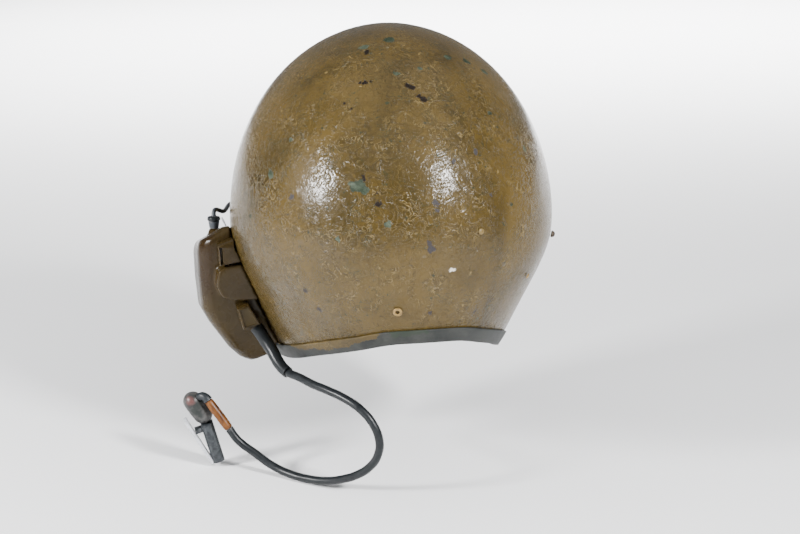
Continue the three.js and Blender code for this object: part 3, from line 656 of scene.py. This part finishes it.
def makeMetal(name, first, second, roughness):
    material, tree, coords = newMaterial(name)
    cloud = noiseAt(tree, coords, 380.0, detail=5.0, distortion=0.5)
    tone = mixColor(tree, mapRange(tree, cloud, 0.35, 0.65), first, second)
    dressShader(tree, tone, roughnessBy(tree, cloud, roughness), cloud, 0.0001, metallic=0.9)
    return material


materials = {
    "shellPaint": makeShellPaint(paintValues),
    "innerFibre": makeInnerFibre(innerValues),
    "trimRubber": makeTrimRubber(trimValues, paintValues),
    "housingPlastic": makeHousingPlastic(housingValues),
    "amberSleeve": makeAmber(collarValues),
}
for make, table in ((makeMoulded, mouldedValues), (makeMottled, mottledValues), (makeMetal, metalValues)):
    for name, values in table.items():
        materials[name] = make(name, **values)
print("materials are made")

# Shell: the CAD's form, smoothed, with its inside in its own finish

shellValues = {"creaseAngle": 60, "levels": 2, "hollowMiddle": (0.0, -0.02, -0.13)}


def makeShell(values):
    shell = copyNode("shell", "shellSkin")
    creaseSharp(shell, values["creaseAngle"])
    subdivide(shell, values["levels"])
    shell.data.materials.append(materials["shellPaint"])
    shell.data.materials.append(materials["innerFibre"])
    middle = Vector(values["hollowMiddle"])
    for face in shell.data.polygons:
        inward = face.normal.dot(face.center - middle) < 0
        face.material_index = 1 if inward else 0
    return finishPiece(shell, None, ["shell"], angle=50)


def makeTrim():
    trim = copyNode("edge_trim", "trimBand")
    bevelEdges(trim, 0.0005, 2, 40)
    subdivide(trim, 1)
    return finishPiece(trim, "trimRubber", ["edge_trim"], angle=60)


makeShell(shellValues)
makeTrim()
print("shell and trim are made")

# Ear housing: remeshed, so that its moulded edges come out soft. Its two boxes stay crisp, and the
# lower one has a recessed panel behind

earValues = {"voxel": 0.0012, "smoothing": 5, "boxBevel": 0.0004, "panel": {"frame": 0.0008, "depth": 0.0005}}


def makeSoft(nodeName, pieceName, material, values):
    piece = copyNode(nodeName, pieceName, quads=False)
    applyModifier(piece, "REMESH", mode="VOXEL", voxel_size=values["voxel"], adaptivity=0.0)
    applyModifier(piece, "SMOOTH", factor=0.5, iterations=values["smoothing"])
    return finishPiece(piece, material, [nodeName], angle=80)


def recessRear(piece, panel):
    rear = max(face.center.y for face in piece.data.polygons if face.normal.y > 0.95)
    editAll(piece)
    bpy.ops.mesh.select_all(action="DESELECT")
    leaveEdit()
    for face in piece.data.polygons:
        face.select = face.normal.y > 0.95 and face.center.y > rear - 0.0005
    bpy.ops.object.mode_set(mode="EDIT")
    bpy.ops.mesh.inset(thickness=panel["frame"], depth=0)
    bpy.ops.mesh.extrude_region_move(TRANSFORM_OT_translate={"value": (0, -panel["depth"], 0)})
    piece.active_material_index = 1
    bpy.ops.object.material_slot_assign()
    leaveEdit()


def makeBox(nodeName, pieceName, bevel, panel=None):
    piece = copyNode(nodeName, pieceName, quads=False)
    dissolveFlat(piece)
    leaveEdit()
    piece.data.materials.append(materials["housingPlastic"])
    piece.data.materials.append(materials["panelPlastic"])
    if panel:
        recessRear(piece, panel)
    bevelEdges(piece, bevel, 3, 40)
    return finishPiece(piece, None, [nodeName], angle=40)


makeSoft("ear_housing", "earHousing", "housingPlastic", earValues)
makeBox("rear_box", "rearBox", earValues["boxBevel"])
makeBox("outlet_box", "outletBox", earValues["boxBevel"], earValues["panel"])
print("ear housing is made")

# Round pieces are subdivided, and hard ones get small bevels. A hard piece can also grow outward


def makeRound(nodeName, pieceName, material, crease=0.6):
    piece = copyNode(nodeName, pieceName)
    creaseSharp(piece, 50, crease)
    subdivide(piece, 2)
    return finishPiece(piece, material, [nodeName], angle=40)


def makeHard(nodeName, pieceName, material, bevel=0.0003, grow=0.0):
    piece = copyNode(nodeName, pieceName, quads=False)
    dissolveFlat(piece)
    if grow:
        bpy.ops.transform.shrink_fatten(value=grow, use_even_offset=True)
    leaveEdit()
    bevelEdges(piece, bevel, 3, 30)
    return finishPiece(piece, material, [nodeName])


# Boom pieces and microphone

makeRound("boom_sleeve", "boomSleeve", "blackRubber", crease=0.85)
micCollar = makeRound("mic_collar", "micCollar", "amberSleeve")
micNeck = makeRound("mic_neck", "micNeck", "blackPlastic")
micHead = makeRound("mic_head", "micHead", "mottledHead", crease=0)
micBody = makeHard("mic_body", "micBody", "blackPlastic", bevel=0.0007, grow=0.0012)
micLeaf = makeHard("mic_leaf", "micLeaf", "greyPlastic", grow=0.0006)
micBridge = makeHard("mic_bridge", "micBridge", "blackPlastic", bevel=0.0005)

boom.data.materials.append(materials["blackRubber"])
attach(boom, "root")
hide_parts("boom_tube")
print("boom and microphone are made")

# Gland, lead and small metal pieces

makeRound("gland_body", "glandBody", "greyRubber")
makeRound("gland_cap", "glandCap", "blackRubber")
makeHard("gland_strap", "glandStrap", "greyPlastic")
makeRound("gland_lead", "glandLead", "greyRubber")
makeRound("lead_grommet", "leadGrommet", "blackRubber")
makeRound("nape_eyelet", "napeEyelet", "brass", crease=0.3)
makeRound("rear_rivet", "rearRivet", "paintedMetal", crease=0.3)
makeRound("flank_rivet", "flankRivet", "brass", crease=0.3)
makeRound("side_stud", "sideStud", "darkMetal", crease=0.3)
print("gland and fittings are made")

# Stage: a plain pale floor and soft studio light

stageValues = {
    "floorHeight": -0.3421,
    "floorSize": 24.0,
    "floorTone": (0.92, 0.922, 0.93, 1),
    "floorDim": 0.97,
    "floorRoughness": 0.6,
    "sky": (0.93, 0.955, 1.0, 1),
    "skyStrength": 0.34,
    "target": (0, 0, -0.13),
    "lights": [
        {"from": (0.905, 0.28, 0.31), "away": 1.5, "size": (0.26, 0.26), "power": 50.0},
        {"from": (-0.4, 0.79, 0.462), "away": 1.6, "size": (0.26, 0.26), "power": 56.0},
        {"from": (0.0, 0.3, 1.0), "away": 2.2, "size": (3.6, 3.6), "power": 34.0},
    ],
    "backdrop": {"place": (-1.15, -2.9, 2.0), "size": (3.7, 2.6), "power": 300.0, "spread": 80.0},
}


def addSoftbox(name, place, direction, size, power, spread=180.0):
    data = bpy.data.lights.new(name, "AREA")
    data.shape = "RECTANGLE"
    data.size, data.size_y = size
    data.energy = power
    data.spread = math.radians(spread)
    lamp = bpy.data.objects.new(name, data)
    bpy.context.scene.collection.objects.link(lamp)
    lamp.location = place
    lamp.rotation_mode = "QUATERNION"
    lamp.rotation_quaternion = Vector(direction).to_track_quat("-Z", "Y")


def makeFloor(values):
    bpy.ops.object.select_all(action="DESELECT")
    bpy.ops.mesh.primitive_plane_add(size=values["floorSize"], location=(0, 0, values["floorHeight"]))
    floor = bpy.context.active_object
    floor.name = "studioFloor"
    material, tree, coords = newMaterial("floorPaper")
    pale = values["floorTone"]
    dim = tuple(channel * values["floorDim"] for channel in pale[:3]) + (1,)
    shader = tree.nodes["Principled BSDF"]
    setInput(tree, shader.inputs["Base Color"], mixColor(tree, noiseAt(tree, coords, 3.0), pale, dim))
    setInput(tree, shader.inputs["Roughness"], values["floorRoughness"])
    floor.data.materials.append(material)


def makeSky(values):
    world = bpy.data.worlds.new("studio")
    world.use_nodes = True
    background = world.node_tree.nodes["Background"]
    background.inputs["Color"].default_value = values["sky"]
    background.inputs["Strength"].default_value = values["skyStrength"]
    bpy.context.scene.world = world


def makeLights(values):
    target = Vector(values["target"])
    for number, light in enumerate(values["lights"]):
        direction = Vector(light["from"]).normalized()
        place = target + direction * light["away"]
        addSoftbox(f"softbox{number}", place, -direction, light["size"], light["power"])
    addSoftbox("backdropLight", direction=(0, 0, -1), **values["backdrop"])


makeFloor(stageValues)
makeSky(stageValues)
makeLights(stageValues)
print("stage is set")
